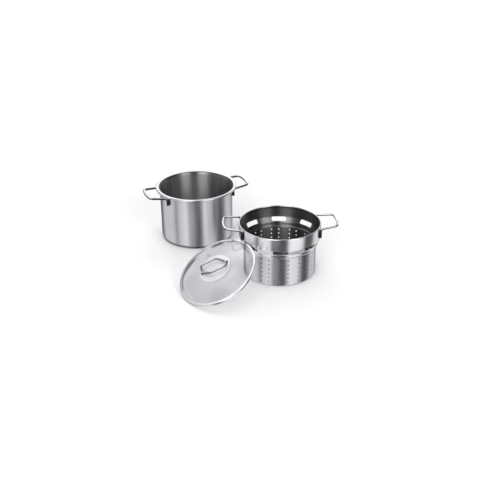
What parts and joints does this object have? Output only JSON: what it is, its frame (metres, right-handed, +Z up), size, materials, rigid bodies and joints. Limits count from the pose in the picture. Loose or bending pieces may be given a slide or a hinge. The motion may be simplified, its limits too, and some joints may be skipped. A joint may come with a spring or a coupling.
{
  "type": "pasta pot",
  "caption": "Flared stainless steel pot with a perforated pasta insert standing beside it and a domed glass lid leaning on the insert, all with bent wire handles.",
  "frame": {"origin": "centre of the underside of the pot's base, on the floor", "axes": "+X to the viewer's right, +Y away from the viewer, +Z up along the pot's axis"},
  "size_m": [0.6208, 0.6534, 0.181],
  "materials": {
    "satin_steel": "satin brushed stainless steel",
    "polished_steel": "mirror polished stainless steel",
    "aluminium_core": "plain aluminium",
    "clear_glass": "clear toughened glass",
    "silicone": "matt silicone"
  },
  "bodies": {
    "root": {"pot_shell": "satin_steel", "pot_base_core": "aluminium_core", "pot_base_cap": "satin_steel", "pot_handle_right": "polished_steel", "pot_handle_left": "polished_steel", "insert_basket": "satin_steel", "insert_handle_right": "polished_steel", "insert_handle_left": "polished_steel", "lid_glass": "clear_glass", "lid_rim": "polished_steel", "lid_vent_eyelet": "polished_steel", "lid_plate": "polished_steel", "lid_gasket": "silicone", "lid_handle": "polished_steel", "lid_seal_upper": "silicone", "lid_seal_lower": "silicone", "lid_washer_upper": "satin_steel", "lid_washer_lower": "satin_steel", "lid_screw_upper": "satin_steel", "lid_screw_lower": "satin_steel"}
  },
  "joints": []
}
